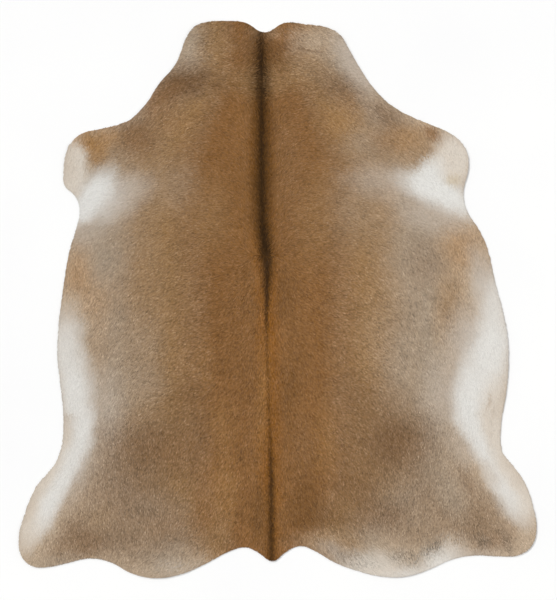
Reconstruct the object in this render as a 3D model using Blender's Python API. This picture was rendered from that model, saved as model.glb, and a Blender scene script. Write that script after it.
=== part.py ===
"""A hair-on cowhide rug: one tanned skin with its coat, laid flat with the coat up.

Frame: metres, +Z up.  The neck points along +Y and the tail along -Y.  The flesh side
rests on Z = 0, and the origin is on it, at the middle of the hide's length and width.
"""

import math
from typing import NamedTuple

import bmesh
import bpy
from mathutils import Vector

CM = 0.01
MM = 0.001

# Driving dimensions.
HIDE_LENGTH = 2.20          # neck crest to the lowest curve of the rump
SKIN_THICKNESS = 2.6 * MM   # the tanned skin alone
COAT_DEPTH = 2.4 * MM       # lying hair on the back
BELLY_COAT_LOSS = 1.2 * MM  # how much shallower the hair lies at the widest flank
SPINE_RIDGE = 1.3 * MM      # extra depth of the crest of hair along the spine
SPINE_RIDGE_HALF_WIDTH = 2.6 * CM
RIM_ROUNDING = 1.5 * MM     # the cut rim is eased by this much, above and below
HALF_WIDTH = 1.02           # middle line to the widest point of a hind leg

# How finely the sheet is divided.
OUTLINE_STEPS = 4           # straight pieces between two landmarks
GRID_PITCH = 5.0 * CM
GRID_REACH = 1.14           # the grid's lines run this far from the middle
RIDGE_LINES = (-2.6 * CM, -1.1 * CM, 0.0, 1.1 * CM, 2.6 * CM)
SNAP = 2.0 * MM             # a grid line passes through a point that is this near
WELD = 0.01 * MM
LEVEL = 0.999               # a face whose normal is this upright is level
SHARP_ANGLE = math.radians(40.0)

COAT_COLOUR = (0.32, 0.215, 0.135, 1.0)
COAT_ROUGHNESS = 0.62


class Landmark(NamedTuple):
    """Two matching points of the rim, in centimetres.

    Each is given by its distance out from the middle line and up towards the neck.
    """

    name: str
    left_out: float
    left_up: float
    right_out: float
    right_up: float


class Swell(NamedTuple):
    """A place where the hide stands a little off the floor.

    Centre, half length and half width are in centimetres, the heading of the long
    axis is in degrees from +X, and the height is in millimetres.
    """

    name: str
    x: float
    y: float
    half_length: float
    half_width: float
    heading: float
    height: float


class SpinePoint(NamedTuple):
    """A point of the spine line, in centimetres."""

    name: str
    x: float
    y: float


NECK_NOTCH = (-5.0, 105.6)
TAIL_TIP = (-1.9, -103.8)

NECK = (
    Landmark("crest, inner end", 12.4, 109.6, 2.6, 109.5),
    Landmark("crest, middle", 19.0, 110.2, 11.3, 108.8),
    Landmark("crest, outer end", 27.0, 109.9, 19.1, 107.7),
    Landmark("neck corner", 32.2, 108.1, 24.5, 104.8),
    Landmark("below the corner", 36.2, 103.0, 28.4, 98.6),
    Landmark("neck side", 38.4, 97.0, 31.8, 92.8),
)

SHOULDER = (
    Landmark("neck fold", 40.7, 92.1, 36.9, 84.9),
    Landmark("shoulder, top", 46.9, 85.0, 43.3, 78.0),
    Landmark("shoulder hollow", 52.0, 77.0, 51.2, 73.1),
    Landmark("shoulder, foot", 58.8, 70.8, 59.9, 69.5),
)

FORELEG = (
    Landmark("foreleg, front", 70.0, 67.5, 68.5, 65.7),
    Landmark("foreleg corner", 77.6, 65.6, 73.3, 61.6),
    Landmark("foreleg side", 82.2, 61.0, 75.5, 55.6),
    Landmark("foreleg, hind part", 84.5, 50.0, 75.0, 48.8),
    Landmark("foreleg, hind corner", 84.1, 44.7, 73.8, 44.6),
    Landmark("armpit", 80.2, 41.0, 73.7, 40.0),
)

FLANK = (
    Landmark("behind the armpit", 78.2, 35.5, 74.9, 35.0),
    Landmark("chest", 79.8, 27.0, 79.7, 27.5),
    Landmark("chest, rear", 82.3, 18.5, 83.3, 19.6),
    Landmark("front belly", 84.6, 4.0, 85.6, 8.8),
    Landmark("belly", 86.6, -12.5, 89.6, -6.5),
    Landmark("belly, widest", 86.9, -23.0, 91.2, -17.5),
    Landmark("rear belly", 85.5, -36.0, 90.7, -35.0),
    Landmark("flank hollow", 84.5, -50.5, 88.2, -52.5),
    Landmark("flank, foot", 86.2, -61.5, 89.0, -60.2),
)

HIND_LEG = (
    Landmark("stifle", 90.0, -67.7, 93.4, -65.8),
    Landmark("thigh", 95.4, -74.0, 97.9, -72.5),
    Landmark("shank", 99.6, -84.2, 101.3, -82.8),
    Landmark("hock, upper", 102.1, -94.3, 102.4, -90.5),
    Landmark("hock, lower", 101.0, -101.9, 100.7, -97.4),
    Landmark("hock corner", 97.0, -105.6, 95.8, -101.2),
    Landmark("leg end", 90.5, -106.0, 88.0, -101.8),
    Landmark("leg end, inner", 82.5, -104.3, 78.0, -101.4),
)

RUMP = (
    Landmark("notch of the leg", 74.3, -102.6, 69.5, -102.9),
    Landmark("rump, outer rise", 66.0, -104.1, 60.0, -107.0),
    Landmark("rump, outer", 57.8, -108.4, 52.6, -109.4),
    Landmark("rump, lowest", 49.0, -110.3, 44.0, -109.9),
    Landmark("rump, inner", 38.9, -109.0, 32.6, -107.7),
    Landmark("rump, inner rise", 27.5, -104.2, 22.5, -104.1),
    Landmark("tail bay, outer", 19.5, -100.0, 15.2, -99.8),
    Landmark("tail bay", 12.5, -98.2, 9.0, -97.7),
    Landmark("tail root", 7.0, -100.6, 2.7, -100.5),
)

SPINE = (
    SpinePoint("neck", -6.0, 106.0),
    SpinePoint("shoulders", -6.1, 60.0),
    SpinePoint("withers", -5.6, 24.0),
    SpinePoint("mid back", -3.9, 8.0),
    SpinePoint("loin", -3.3, -50.0),
    SpinePoint("tail", -2.1, -104.0),
)

SWELLS = (
    Swell("left neck corner", -33.0, 106.0, 15.0, 11.0, 130.0, 5.0),
    Swell("right neck corner", 26.0, 103.0, 15.0, 11.0, 55.0, 4.5),
    Swell("left neck fold", -30.0, 88.0, 22.0, 8.0, 165.0, 3.5),
    Swell("right neck fold", 20.0, 84.0, 20.0, 8.0, 15.0, 3.0),
    Swell("left foreleg", -84.0, 54.0, 16.0, 13.0, 90.0, 6.0),
    Swell("right foreleg", 75.0, 54.0, 16.0, 13.0, 90.0, 5.5),
    Swell("left belly", -88.0, -12.0, 34.0, 12.0, 92.0, 4.5),
    Swell("right belly", 92.0, -24.0, 30.0, 12.0, 88.0, 5.0),
    Swell("right flank crease", 83.0, -48.0, 18.0, 8.0, 105.0, 3.5),
    Swell("left hind leg", -100.0, -98.0, 22.0, 17.0, 60.0, 7.0),
    Swell("right hind leg", 100.0, -93.0, 22.0, 17.0, 120.0, 6.0),
    Swell("left rump", -48.0, -110.0, 22.0, 10.0, 0.0, 4.0),
    Swell("right rump", 45.0, -110.0, 22.0, 10.0, 0.0, 4.0),
    Swell("tail", -2.0, -105.0, 12.0, 9.0, 90.0, 3.0),
)


def clear_scene() -> None:
    """Remove every object that the scene starts with."""
    for item in list(bpy.data.objects):
        bpy.data.objects.remove(item, do_unlink=True)


def new_collection(name: str) -> bpy.types.Collection:
    """Add a collection to the scene."""
    collection = bpy.data.collections.new(name)
    bpy.context.scene.collection.children.link(collection)
    return collection


def rim_points() -> list[tuple[float, float]]:
    """The rim's points in centimetres: down the right side, and back up the left."""
    landmarks = NECK + SHOULDER + FORELEG + FLANK + HIND_LEG + RUMP
    right = [(mark.right_out, mark.right_up) for mark in landmarks]
    left = [(-mark.left_out, mark.left_up) for mark in landmarks]
    return [NECK_NOTCH, *right, TAIL_TIP, *reversed(left)]


def outline_curve() -> bpy.types.Object:
    """A filled flat curve through the rim's points, as deep as the unit blank."""
    curve = bpy.data.curves.new("hide_outline", "CURVE")
    curve.dimensions = "2D"
    curve.fill_mode = "BOTH"
    curve.resolution_u = OUTLINE_STEPS
    curve.extrude = (SKIN_THICKNESS + COAT_DEPTH) / 2 - RIM_ROUNDING
    curve.bevel_depth = RIM_ROUNDING
    curve.bevel_resolution = 0
    curve.offset = -RIM_ROUNDING
    spline = curve.splines.new("BEZIER")
    points = rim_points()
    spline.bezier_points.add(len(points) - 1)
    for knot, (x, y) in zip(spline.bezier_points, points):
        knot.co = (x * CM, y * CM, 0.0)
        knot.handle_left_type = "AUTO"
        knot.handle_right_type = "AUTO"
    spline.use_cyclic_u = True
    outline = bpy.data.objects.new("hide_outline", curve)
    bpy.context.scene.collection.objects.link(outline)
    return outline


def blank_mesh(outline: bpy.types.Object) -> bpy.types.Mesh:
    """Turn the filled curve into a welded mesh, and remove the curve."""
    bpy.context.view_layer.update()
    evaluated = outline.evaluated_get(bpy.context.evaluated_depsgraph_get())
    mesh = bpy.data.meshes.new_from_object(evaluated)
    mesh.name = "hide"
    bpy.data.objects.remove(outline, do_unlink=True)
    return mesh


def merge_flat_faces(model: bmesh.types.BMesh, side: float) -> None:
    """Make one face of all those that look straight up (side 1) or down (side -1)."""
    level = [face for face in model.faces if face.normal.z * side > LEVEL]
    bmesh.ops.dissolve_faces(model, faces=level, use_verts=False)


def spine_x(y: float) -> float:
    """Where the spine line crosses the level y, both in metres."""
    position = SPINE[0].x
    for upper, lower in zip(SPINE, SPINE[1:]):
        share = (upper.y - y / CM) / (upper.y - lower.y)
        position += (lower.x - upper.x) * min(max(share, 0.0), 1.0)
    return position * CM


def cut(model: bmesh.types.BMesh, point: Vector, normal: Vector) -> None:
    """Divide every face that the plane crosses."""
    everything = [*model.verts, *model.edges, *model.faces]
    bmesh.ops.bisect_plane(model, geom=everything, dist=SNAP, plane_co=point, plane_no=normal)


def divide(model: bmesh.types.BMesh) -> None:
    """Lay a square grid over the sheet, with closer lines along the spine."""
    count = round(GRID_REACH / GRID_PITCH)
    levels = [step * GRID_PITCH for step in range(-count, count + 1)]
    spine_head = Vector((SPINE[0].x * CM, SPINE[0].y * CM, 0.0))
    spine_foot = Vector((SPINE[-1].x * CM, SPINE[-1].y * CM, 0.0))
    across = (spine_head - spine_foot).normalized().cross(Vector((0.0, 0.0, 1.0)))
    for offset in RIDGE_LINES:
        cut(model, spine_foot + across * offset, across)
    for level in levels:
        cut(model, Vector((0.0, level, 0.0)), Vector((0.0, 1.0, 0.0)))
        if abs(level - spine_foot.x) > GRID_PITCH:
            cut(model, Vector((level, 0.0, 0.0)), Vector((1.0, 0.0, 0.0)))


def swell_height(swell: Swell, x: float, y: float) -> float:
    """Height in metres of one swell at a point, level outside its ellipse."""
    turn = math.radians(swell.heading)
    along = (x - swell.x * CM) * math.cos(turn) + (y - swell.y * CM) * math.sin(turn)
    aside = (y - swell.y * CM) * math.cos(turn) - (x - swell.x * CM) * math.sin(turn)
    reach = (along / (swell.half_length * CM)) ** 2 + (aside / (swell.half_width * CM)) ** 2
    return swell.height * MM * max(0.0, 1.0 - reach) ** 2


def lift(x: float, y: float) -> float:
    """How far the flesh side stands off the floor."""
    return sum(swell_height(swell, x, y) for swell in SWELLS)


def thickness(x: float, y: float) -> float:
    """Skin and lying coat together: deepest along the spine, shallowest at the belly."""
    coat = COAT_DEPTH - BELLY_COAT_LOSS * min(abs(x) / HALF_WIDTH, 1.0) ** 2
    from_spine = abs(x - spine_x(y)) / SPINE_RIDGE_HALF_WIDTH
    ridge = SPINE_RIDGE * max(0.0, 1.0 - from_spine**2) ** 2
    return SKIN_THICKNESS + coat + ridge


def shape(model: bmesh.types.BMesh) -> None:
    """Give the flat blank its thickness at each point, and its swells."""
    half_depth = (SKIN_THICKNESS + COAT_DEPTH) / 2
    for vertex in model.verts:
        share = 0.5 + 0.5 * vertex.co.z / half_depth
        x, y = vertex.co.x, vertex.co.y
        vertex.co.z = lift(x, y) + share * thickness(x, y)


def centre(model: bmesh.types.BMesh) -> None:
    """Put the middle of the outline at X = 0, Y = 0 and scale it to the hide's length."""
    xs = [vertex.co.x for vertex in model.verts]
    ys = [vertex.co.y for vertex in model.verts]
    scale = HIDE_LENGTH / (max(ys) - min(ys))
    middle = Vector(((max(xs) + min(xs)) / 2, (max(ys) + min(ys)) / 2, 0.0))
    for vertex in model.verts:
        vertex.co.x = (vertex.co.x - middle.x) * scale
        vertex.co.y = (vertex.co.y - middle.y) * scale


def coat_material() -> bpy.types.Material:
    """Taupe-brown hair, dull to satin."""
    material = bpy.data.materials.new("cowhide_coat")
    material.use_nodes = True
    shader = material.node_tree.nodes["Principled BSDF"]
    shader.inputs["Base Color"].default_value = COAT_COLOUR
    shader.inputs["Roughness"].default_value = COAT_ROUGHNESS
    shader.inputs["Metallic"].default_value = 0.0
    return material


def build_hide(collection: bpy.types.Collection) -> bpy.types.Object:
    """The whole hide as one closed solid."""
    mesh = blank_mesh(outline_curve())
    model = bmesh.new()
    model.from_mesh(mesh)
    bmesh.ops.remove_doubles(model, verts=model.verts, dist=WELD)
    bmesh.ops.recalc_face_normals(model, faces=model.faces)
    merge_flat_faces(model, 1.0)
    merge_flat_faces(model, -1.0)
    centre(model)
    divide(model)
    shape(model)
    bmesh.ops.triangulate(model, faces=model.faces)
    bmesh.ops.recalc_face_normals(model, faces=model.faces)
    model.to_mesh(mesh)
    model.free()
    mesh.shade_smooth()
    mesh.set_sharp_from_angle(angle=SHARP_ANGLE)
    mesh.materials.clear()
    mesh.materials.append(coat_material())
    hide = bpy.data.objects.new("hide", mesh)
    collection.objects.link(hide)
    return hide


def main() -> None:
    """Model the hide."""
    clear_scene()
    build_hide(new_collection("cowhide_rug"))


if __name__ == "__main__":
    main()
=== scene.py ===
"""Dress the cowhide rug: its skin, its coat of short hair, the floor, the light and the camera.

Lengths are in metres and +Z is up.  The hide lies flat with its neck along +Y, and the
origin is on the floor at the middle of its length and width.
"""

import logging
import math
from collections.abc import Callable, Sequence
from dataclasses import dataclass
from enum import Enum
from typing import NamedTuple

import bmesh
import bpy
import numpy as np
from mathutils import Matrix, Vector, geometry, kdtree


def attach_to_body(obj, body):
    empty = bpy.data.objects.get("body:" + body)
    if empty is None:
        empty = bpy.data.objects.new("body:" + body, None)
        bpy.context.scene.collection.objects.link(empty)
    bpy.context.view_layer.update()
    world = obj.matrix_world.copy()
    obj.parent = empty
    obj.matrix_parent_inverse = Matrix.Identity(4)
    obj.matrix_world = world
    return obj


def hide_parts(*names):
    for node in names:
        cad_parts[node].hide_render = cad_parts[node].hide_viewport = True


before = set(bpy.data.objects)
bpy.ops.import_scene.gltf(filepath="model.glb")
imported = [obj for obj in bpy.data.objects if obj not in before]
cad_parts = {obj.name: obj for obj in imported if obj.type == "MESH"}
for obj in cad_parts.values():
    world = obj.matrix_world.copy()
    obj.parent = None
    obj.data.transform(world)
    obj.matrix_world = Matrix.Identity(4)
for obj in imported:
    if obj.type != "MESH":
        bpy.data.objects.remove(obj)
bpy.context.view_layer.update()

LOG = logging.getLogger("cowhide")

Span = tuple[float, float]

CM = 0.01
MM = 0.001

NODE = "hide"
BODY = "root"

HIDE_WIDTH = 2.04
HIDE_LENGTH = 2.20
SKIN_THICKNESS = 2.6 * MM
COAT_DEPTH = 2.4 * MM       # lying hair on the back
BELLY_COAT_LOSS = 1.2 * MM
SPINE_RIDGE = 1.3 * MM
SPINE_RIDGE_HALF_WIDTH = 2.6 * CM


# ---------------------------------------------------------------- the hide's form

class Swell(NamedTuple):
    """A soft rise or, with a negative height, a trough.

    Centre, half length and half width are in centimetres, the heading of the long axis
    is in degrees from +X, and the height is in millimetres.
    """

    name: str
    x: float
    y: float
    half_length: float
    half_width: float
    heading: float
    height: float


class SpinePoint(NamedTuple):
    """A point of the spine line, in centimetres."""

    name: str
    x: float
    y: float


class Growth(NamedTuple):
    """Which way the hair lies at a place of either side.

    The place is in centimetres out from the spine and up towards the neck.  The angle is
    in degrees: 0 is straight back towards the tail, 90 is outwards and 180 is forwards.
    """

    name: str
    out: float
    up: float
    angle: float


class Drift(NamedTuple):
    """A smooth random unevenness, whose size is the metres between independent values."""

    strength: float
    size: float
    seed: int


SPINE = (
    SpinePoint("neck", -6.0, 106.0),
    SpinePoint("shoulders", -6.1, 60.0),
    SpinePoint("withers", -5.6, 24.0),
    SpinePoint("mid back", -3.9, 8.0),
    SpinePoint("loin", -3.3, -50.0),
    SpinePoint("tail", -2.1, -104.0),
)

SWELLS = (
    Swell("left neck corner", -33.0, 106.0, 15.0, 11.0, 130.0, 5.0),
    Swell("right neck corner", 26.0, 103.0, 15.0, 11.0, 55.0, 4.5),
    Swell("left neck fold", -30.0, 88.0, 22.0, 8.0, 165.0, 3.5),
    Swell("right neck fold", 20.0, 84.0, 20.0, 8.0, 15.0, 3.0),
    Swell("left foreleg", -84.0, 54.0, 16.0, 13.0, 90.0, 6.0),
    Swell("right foreleg", 75.0, 54.0, 16.0, 13.0, 90.0, 5.5),
    Swell("left belly", -88.0, -12.0, 34.0, 12.0, 92.0, 4.5),
    Swell("right belly", 92.0, -24.0, 30.0, 12.0, 88.0, 5.0),
    Swell("right flank crease", 83.0, -48.0, 18.0, 8.0, 105.0, 3.5),
    Swell("left hind leg", -100.0, -98.0, 22.0, 17.0, 60.0, 7.0),
    Swell("right hind leg", 100.0, -93.0, 22.0, 17.0, 120.0, 6.0),
    Swell("left rump", -48.0, -110.0, 22.0, 10.0, 0.0, 4.0),
    Swell("right rump", 45.0, -110.0, 22.0, 10.0, 0.0, 4.0),
    Swell("tail", -2.0, -105.0, 12.0, 9.0, 90.0, 3.0),
)

CREASES = (
    Swell("upper neck wrinkle", 11.5, 99.6, 5.5, 0.8, 8.0, -0.9),
    Swell("lower neck wrinkle", 14.0, 96.8, 5.0, 0.8, 172.0, -0.8),
    Swell("left neck wrinkle", -27.0, 83.5, 9.0, 1.2, 170.0, -0.8),
    Swell("right flank wrinkle", 84.5, -48.0, 7.0, 0.8, 112.0, -1.2),
    Swell("left flank wrinkle", -80.0, -33.5, 4.0, 0.8, 20.0, -0.8),
)

GROWTH = (
    Growth("poll", 3.0, 105.0, 42.0),
    Growth("poll side", 22.0, 103.0, 62.0),
    Growth("crest", 4.0, 94.0, 48.0),
    Growth("neck", 16.0, 92.0, 88.0),
    Growth("neck rim", 32.0, 92.0, 66.0),
    Growth("meeting of the flows", 4.0, 84.0, 92.0),
    Growth("neck feather", 17.0, 83.0, 94.0),
    Growth("neck feather end", 36.0, 84.0, 64.0),
    Growth("upper crest", 4.0, 74.0, 157.0),
    Growth("upper shoulder", 16.0, 72.0, 96.0),
    Growth("shoulder slope", 32.0, 72.0, 58.0),
    Growth("shoulder rim", 46.0, 72.0, 45.0),
    Growth("middle crest", 4.0, 55.0, 163.0),
    Growth("inner shoulder", 15.0, 55.0, 102.0),
    Growth("shoulder", 27.0, 55.0, 86.0),
    Growth("outer shoulder", 42.0, 55.0, 66.0),
    Growth("point of the shoulder", 57.0, 54.0, 56.0),
    Growth("foreleg", 71.0, 58.0, 16.0),
    Growth("foreleg end", 78.0, 50.0, 24.0),
    Growth("lower crest", 4.0, 34.0, 158.0),
    Growth("inner withers", 15.0, 34.0, 98.0),
    Growth("withers", 27.0, 34.0, 88.0),
    Growth("upper ribs", 42.0, 34.0, 66.0),
    Growth("elbow", 60.0, 36.0, 56.0),
    Growth("armpit", 73.0, 34.0, 50.0),
    Growth("crown of the back", 3.0, 22.0, 150.0),
    Growth("below the crown", 3.0, 12.0, 12.0),
    Growth("crown side", 14.0, 16.0, 84.0),
    Growth("crown slope", 28.0, 18.0, 80.0),
    Growth("middle ribs", 42.0, 14.0, 52.0),
    Growth("chest", 60.0, 14.0, 36.0),
    Growth("chest rim", 78.0, 12.0, 17.0),
    Growth("back", 3.0, -4.0, 4.0),
    Growth("back side", 14.0, -6.0, 56.0),
    Growth("lower ribs", 27.0, -6.0, 68.0),
    Growth("last ribs", 42.0, -8.0, 54.0),
    Growth("belly", 58.0, -10.0, 30.0),
    Growth("belly rim", 82.0, -12.0, 16.0),
    Growth("loin", 3.0, -34.0, 5.0),
    Growth("loin side", 14.0, -34.0, 30.0),
    Growth("hip", 28.0, -36.0, 56.0),
    Growth("short ribs", 42.0, -36.0, 56.0),
    Growth("flank", 58.0, -38.0, 26.0),
    Growth("flank rim", 80.0, -36.0, 6.0),
    Growth("croup", 3.0, -62.0, 6.0),
    Growth("croup side", 16.0, -60.0, 28.0),
    Growth("upper rump", 30.0, -60.0, 36.0),
    Growth("thigh", 46.0, -60.0, 14.0),
    Growth("stifle", 66.0, -62.0, 0.0),
    Growth("leg fold", 84.0, -70.0, 20.0),
    Growth("tail head", 3.0, -86.0, 3.0),
    Growth("rump", 18.0, -86.0, 22.0),
    Growth("lower rump", 32.0, -88.0, 30.0),
    Growth("back of the thigh", 50.0, -86.0, -6.0),
    Growth("gaskin", 70.0, -86.0, -4.0),
    Growth("hock", 90.0, -84.0, 12.0),
    Growth("leg end", 98.0, -98.0, 22.0),
    Growth("leg end, inside", 80.0, -102.0, 8.0),
    Growth("rump rim", 40.0, -104.0, 40.0),
    Growth("tail", 3.0, -104.0, 4.0),
)


def smoothstep(value: np.ndarray, low: float, high: float) -> np.ndarray:
    """Ease from 0 at low to 1 at high."""
    share = np.clip((value - low) / (high - low), 0.0, 1.0)
    return share * share * (3.0 - 2.0 * share)


def swell_height(rows: Sequence[Swell], x: np.ndarray, y: np.ndarray) -> np.ndarray:
    """Add up soft rises, each level outside its own ellipse.

    Args:
        rows: The rises.
        x: Places across the hide, in metres.
        y: Places along the hide, in metres.

    Returns:
        The height at each place, in metres.
    """
    total = np.zeros_like(x)
    for row in rows:
        turn = math.radians(row.heading)
        right = x - row.x * CM
        up = y - row.y * CM
        along = (right * math.cos(turn) + up * math.sin(turn)) / (row.half_length * CM)
        aside = (up * math.cos(turn) - right * math.sin(turn)) / (row.half_width * CM)
        total += row.height * MM * np.maximum(0.0, 1.0 - along**2 - aside**2) ** 2
    return total


def drifting(x: np.ndarray, y: np.ndarray, size: float, seed: int) -> np.ndarray:
    """Smooth random values from -1 to 1 over the floor plane.

    Args:
        x: Places across, in metres.
        y: Places along, in metres.
        size: The distance between two independent values, in metres.
        seed: Which pattern to draw.

    Returns:
        One value for each place.
    """
    side = 512
    lattice = np.random.default_rng(seed).uniform(-1.0, 1.0, (side, side))
    across = x / size + (side + 1) / 2
    along = y / size + (side + 1) / 2
    column = np.floor(across).astype(int)
    row = np.floor(along).astype(int)
    right = smoothstep(across - column, 0.0, 1.0)
    up = smoothstep(along - row, 0.0, 1.0)
    column %= side - 1
    row %= side - 1
    low = lattice[row, column] * (1 - right) + lattice[row, column + 1] * right
    high = lattice[row + 1, column] * (1 - right) + lattice[row + 1, column + 1] * right
    return low * (1 - up) + high * up


def stirred(
    value: np.ndarray, drifts: Sequence[Drift], x: np.ndarray, y: np.ndarray
) -> np.ndarray:
    """Add smooth unevenness to values.

    Args:
        value: The even values.
        drifts: What to add.
        x: The values' places across the hide.
        y: The values' places along it.

    Returns:
        The uneven values.
    """
    for drift in drifts:
        value = value + drift.strength * drifting(x, y, drift.size, drift.seed)
    return value


class HideForm:
    """The surface that the skin and the coat follow, and the hide's rim."""

    RIM_STEP = 6.0 * MM         # distance between the rim's points
    RIM_EASE = 9.0 * MM         # how far the solid's straight pieces are rounded
    EASE_POINTS = 6             # how many points on either side the rounding takes in
    EDGE_ROUNDING = 5.0 * MM    # the skin thins out over this distance from its rim
    WELD = 0.01 * MM            # points of the solid that are this near are one
    UPRIGHT = 0.3               # the normal of a wall's face rises by less than this
    PARTING = 0.8 * CM          # the lie turns from side to side over this distance
    GROWTH_CORE = 3.0           # up to how many centimetres off one place rules the lie
    UNEVEN = (Drift(0.25 * MM, 26 * MM, 3), Drift(0.12 * MM, 9 * MM, 4))
    SWAY = (Drift(math.radians(9.0), 90 * MM, 5), Drift(math.radians(7.0), 22 * MM, 6))

    def __init__(self, solid: bpy.types.Object) -> None:
        """Read the rim from the solid.

        Args:
            solid: The hide's node as packed.
        """
        self.rim = self._eased(self._wall_loop(solid))
        ahead = np.roll(self.rim, -1, axis=0) - np.roll(self.rim, 1, axis=0)
        ahead /= np.linalg.norm(ahead, axis=1)[:, None]
        way = math.copysign(1.0, self._signed_area(self.rim))
        self.outward = np.column_stack([ahead[:, 1], -ahead[:, 0]]) * way
        self._tree = kdtree.KDTree(len(self.rim))
        for index, (x, y) in enumerate(self.rim):
            self._tree.insert((x, y, 0.0), index)
        self._tree.balance()

    @staticmethod
    def _signed_area(loop: np.ndarray) -> float:
        """Area of a closed loop, positive if it runs anticlockwise."""
        after = np.roll(loop, -1, axis=0)
        return float((loop[:, 0] * after[:, 1] - after[:, 0] * loop[:, 1]).sum() / 2)

    def _wall_loop(self, solid: bpy.types.Object) -> np.ndarray:
        """Walk round the top of the solid's wall.

        Args:
            solid: The hide's node, whose wall stands upright between two eased edges.

        Returns:
            The loop's points as X and Y, in order.
        """
        model = bmesh.new()
        model.from_mesh(solid.data)
        bmesh.ops.remove_doubles(model, verts=model.verts, dist=self.WELD)
        after: dict = {}
        for edge in model.edges:
            walls = [face for face in edge.link_faces if abs(face.normal.z) < self.UPRIGHT]
            caps = [face for face in edge.link_faces if face.normal.z >= self.UPRIGHT]
            if len(walls) == 1 and len(caps) == 1:
                for one, other in (edge.verts, reversed(edge.verts)):
                    after.setdefault(one, []).append(other)
        start = next(iter(after))
        loop = [start, after[start][0]]
        while len(loop) < len(after):
            one, other = after[loop[-1]]
            loop.append(other if one is loop[-2] else one)
        points = np.array([vertex.co[:2] for vertex in loop])
        model.free()
        return points

    def _eased(self, loop: np.ndarray) -> np.ndarray:
        """Even out a loop's points and round its corners.

        Args:
            loop: A closed loop of uneven straight pieces.

        Returns:
            A closed loop with a point every RIM_STEP.
        """
        closed = np.vstack([loop, loop[:1]])
        run = np.concatenate([[0.0], np.cumsum(np.linalg.norm(np.diff(closed, axis=0), axis=1))])
        count = round(run[-1] / self.RIM_STEP)
        at = np.arange(count) * run[-1] / count
        even = np.column_stack([np.interp(at, run, closed[:, axis]) for axis in (0, 1)])
        reach = np.arange(-self.EASE_POINTS, self.EASE_POINTS + 1)
        weights = np.exp(-0.5 * (reach * self.RIM_STEP / self.RIM_EASE) ** 2)
        weights /= weights.sum()
        return sum(weight * np.roll(even, -step, axis=0) for weight, step in zip(weights, reach))

    def inside(self, x: np.ndarray, y: np.ndarray) -> tuple[np.ndarray, np.ndarray]:
        """Find how far in from the rim each place is.

        Args:
            x: Places across the hide.
            y: Places along the hide.

        Returns:
            The distances in metres, negative outside the rim, and the outward direction
            at the nearest point of the rim.
        """
        nearest = np.array([self._tree.find((a, b, 0.0))[1] for a, b in zip(x, y)])
        offset = np.column_stack([x, y]) - self.rim[nearest]
        return -(offset * self.outward[nearest]).sum(axis=1), self.outward[nearest]

    def spine_x(self, y: np.ndarray) -> np.ndarray:
        """Find where the spine line crosses.

        Args:
            y: Places along the hide.

        Returns:
            The spine's place across the hide at each of them.
        """
        position = np.full_like(y, SPINE[0].x)
        for upper, lower in zip(SPINE, SPINE[1:]):
            share = (upper.y - y / CM) / (upper.y - lower.y)
            position += (lower.x - upper.x) * np.clip(share, 0.0, 1.0)
        return position * CM

    def lift(self, x: np.ndarray, y: np.ndarray) -> np.ndarray:
        """How far the flesh side stands off the floor."""
        return swell_height(SWELLS, x, y)

    def coat(self, x: np.ndarray, y: np.ndarray) -> np.ndarray:
        """Work out the depth of the lying hair.

        Args:
            x: Places across the hide.
            y: Places along the hide.

        Returns:
            The depth at each place.
        """
        belly = BELLY_COAT_LOSS * np.minimum(np.abs(x) / (HIDE_WIDTH / 2), 1.0) ** 2
        from_spine = (x - self.spine_x(y)) / SPINE_RIDGE_HALF_WIDTH
        ridge = SPINE_RIDGE * np.maximum(0.0, 1.0 - from_spine**2) ** 2
        return COAT_DEPTH - belly + ridge

    def skin_top(self, x: np.ndarray, y: np.ndarray) -> np.ndarray:
        """Height of the skin's hair side, with its creases and fine unevenness."""
        even = self.lift(x, y) + SKIN_THICKNESS + swell_height(CREASES, x, y)
        return stirred(even, self.UNEVEN, x, y)

    def lie(self, x: np.ndarray, y: np.ndarray) -> np.ndarray:
        """Find which way the hair lies.

        Args:
            x: Places across the hide.
            y: Places along the hide.

        Returns:
            Unit vectors in the floor plane, one for each place.
        """
        off = x - self.spine_x(y)
        side = np.tanh(off / self.PARTING)
        out = np.abs(off) / CM
        up = y / CM
        across = np.zeros_like(x)
        back = np.zeros_like(x)
        for row in GROWTH:
            apart = (out - row.out) ** 2 + (up - row.up) ** 2
            near = 1.0 / (apart + self.GROWTH_CORE**2) ** 2
            across += near * math.sin(math.radians(row.angle))
            back += near * math.cos(math.radians(row.angle))
        heading = stirred(np.arctan2(across * side, back), self.SWAY, x, y)
        return np.column_stack([np.sin(heading), -np.cos(heading)])


# ---------------------------------------------------------------- shader maths

def written(operation: str, swapped: bool = False) -> Callable:
    """Make a Value's method for one kind of sum.

    Args:
        operation: The sum, as a Math node names it.
        swapped: Whether the other term comes first.

    Returns:
        The method.
    """
    def work_out(self: "Value", *others: "Value | float") -> "Value":
        """Work out the sum of this value and at most one other."""
        terms = (*others, self) if swapped else (self, *others)
        return self.graph.math(operation, *terms)

    return work_out


class Value:
    """A socket of a node, on which sums can be written."""

    def __init__(self, graph: "Graph", socket: bpy.types.NodeSocket) -> None:
        """Wrap one output socket of a graph."""
        self.graph = graph
        self.socket = socket

    __add__ = written("ADD")
    __radd__ = written("ADD", swapped=True)
    __sub__ = written("SUBTRACT")
    __rsub__ = written("SUBTRACT", swapped=True)
    __mul__ = written("MULTIPLY")
    __truediv__ = written("DIVIDE")
    __abs__ = written("ABSOLUTE")


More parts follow.
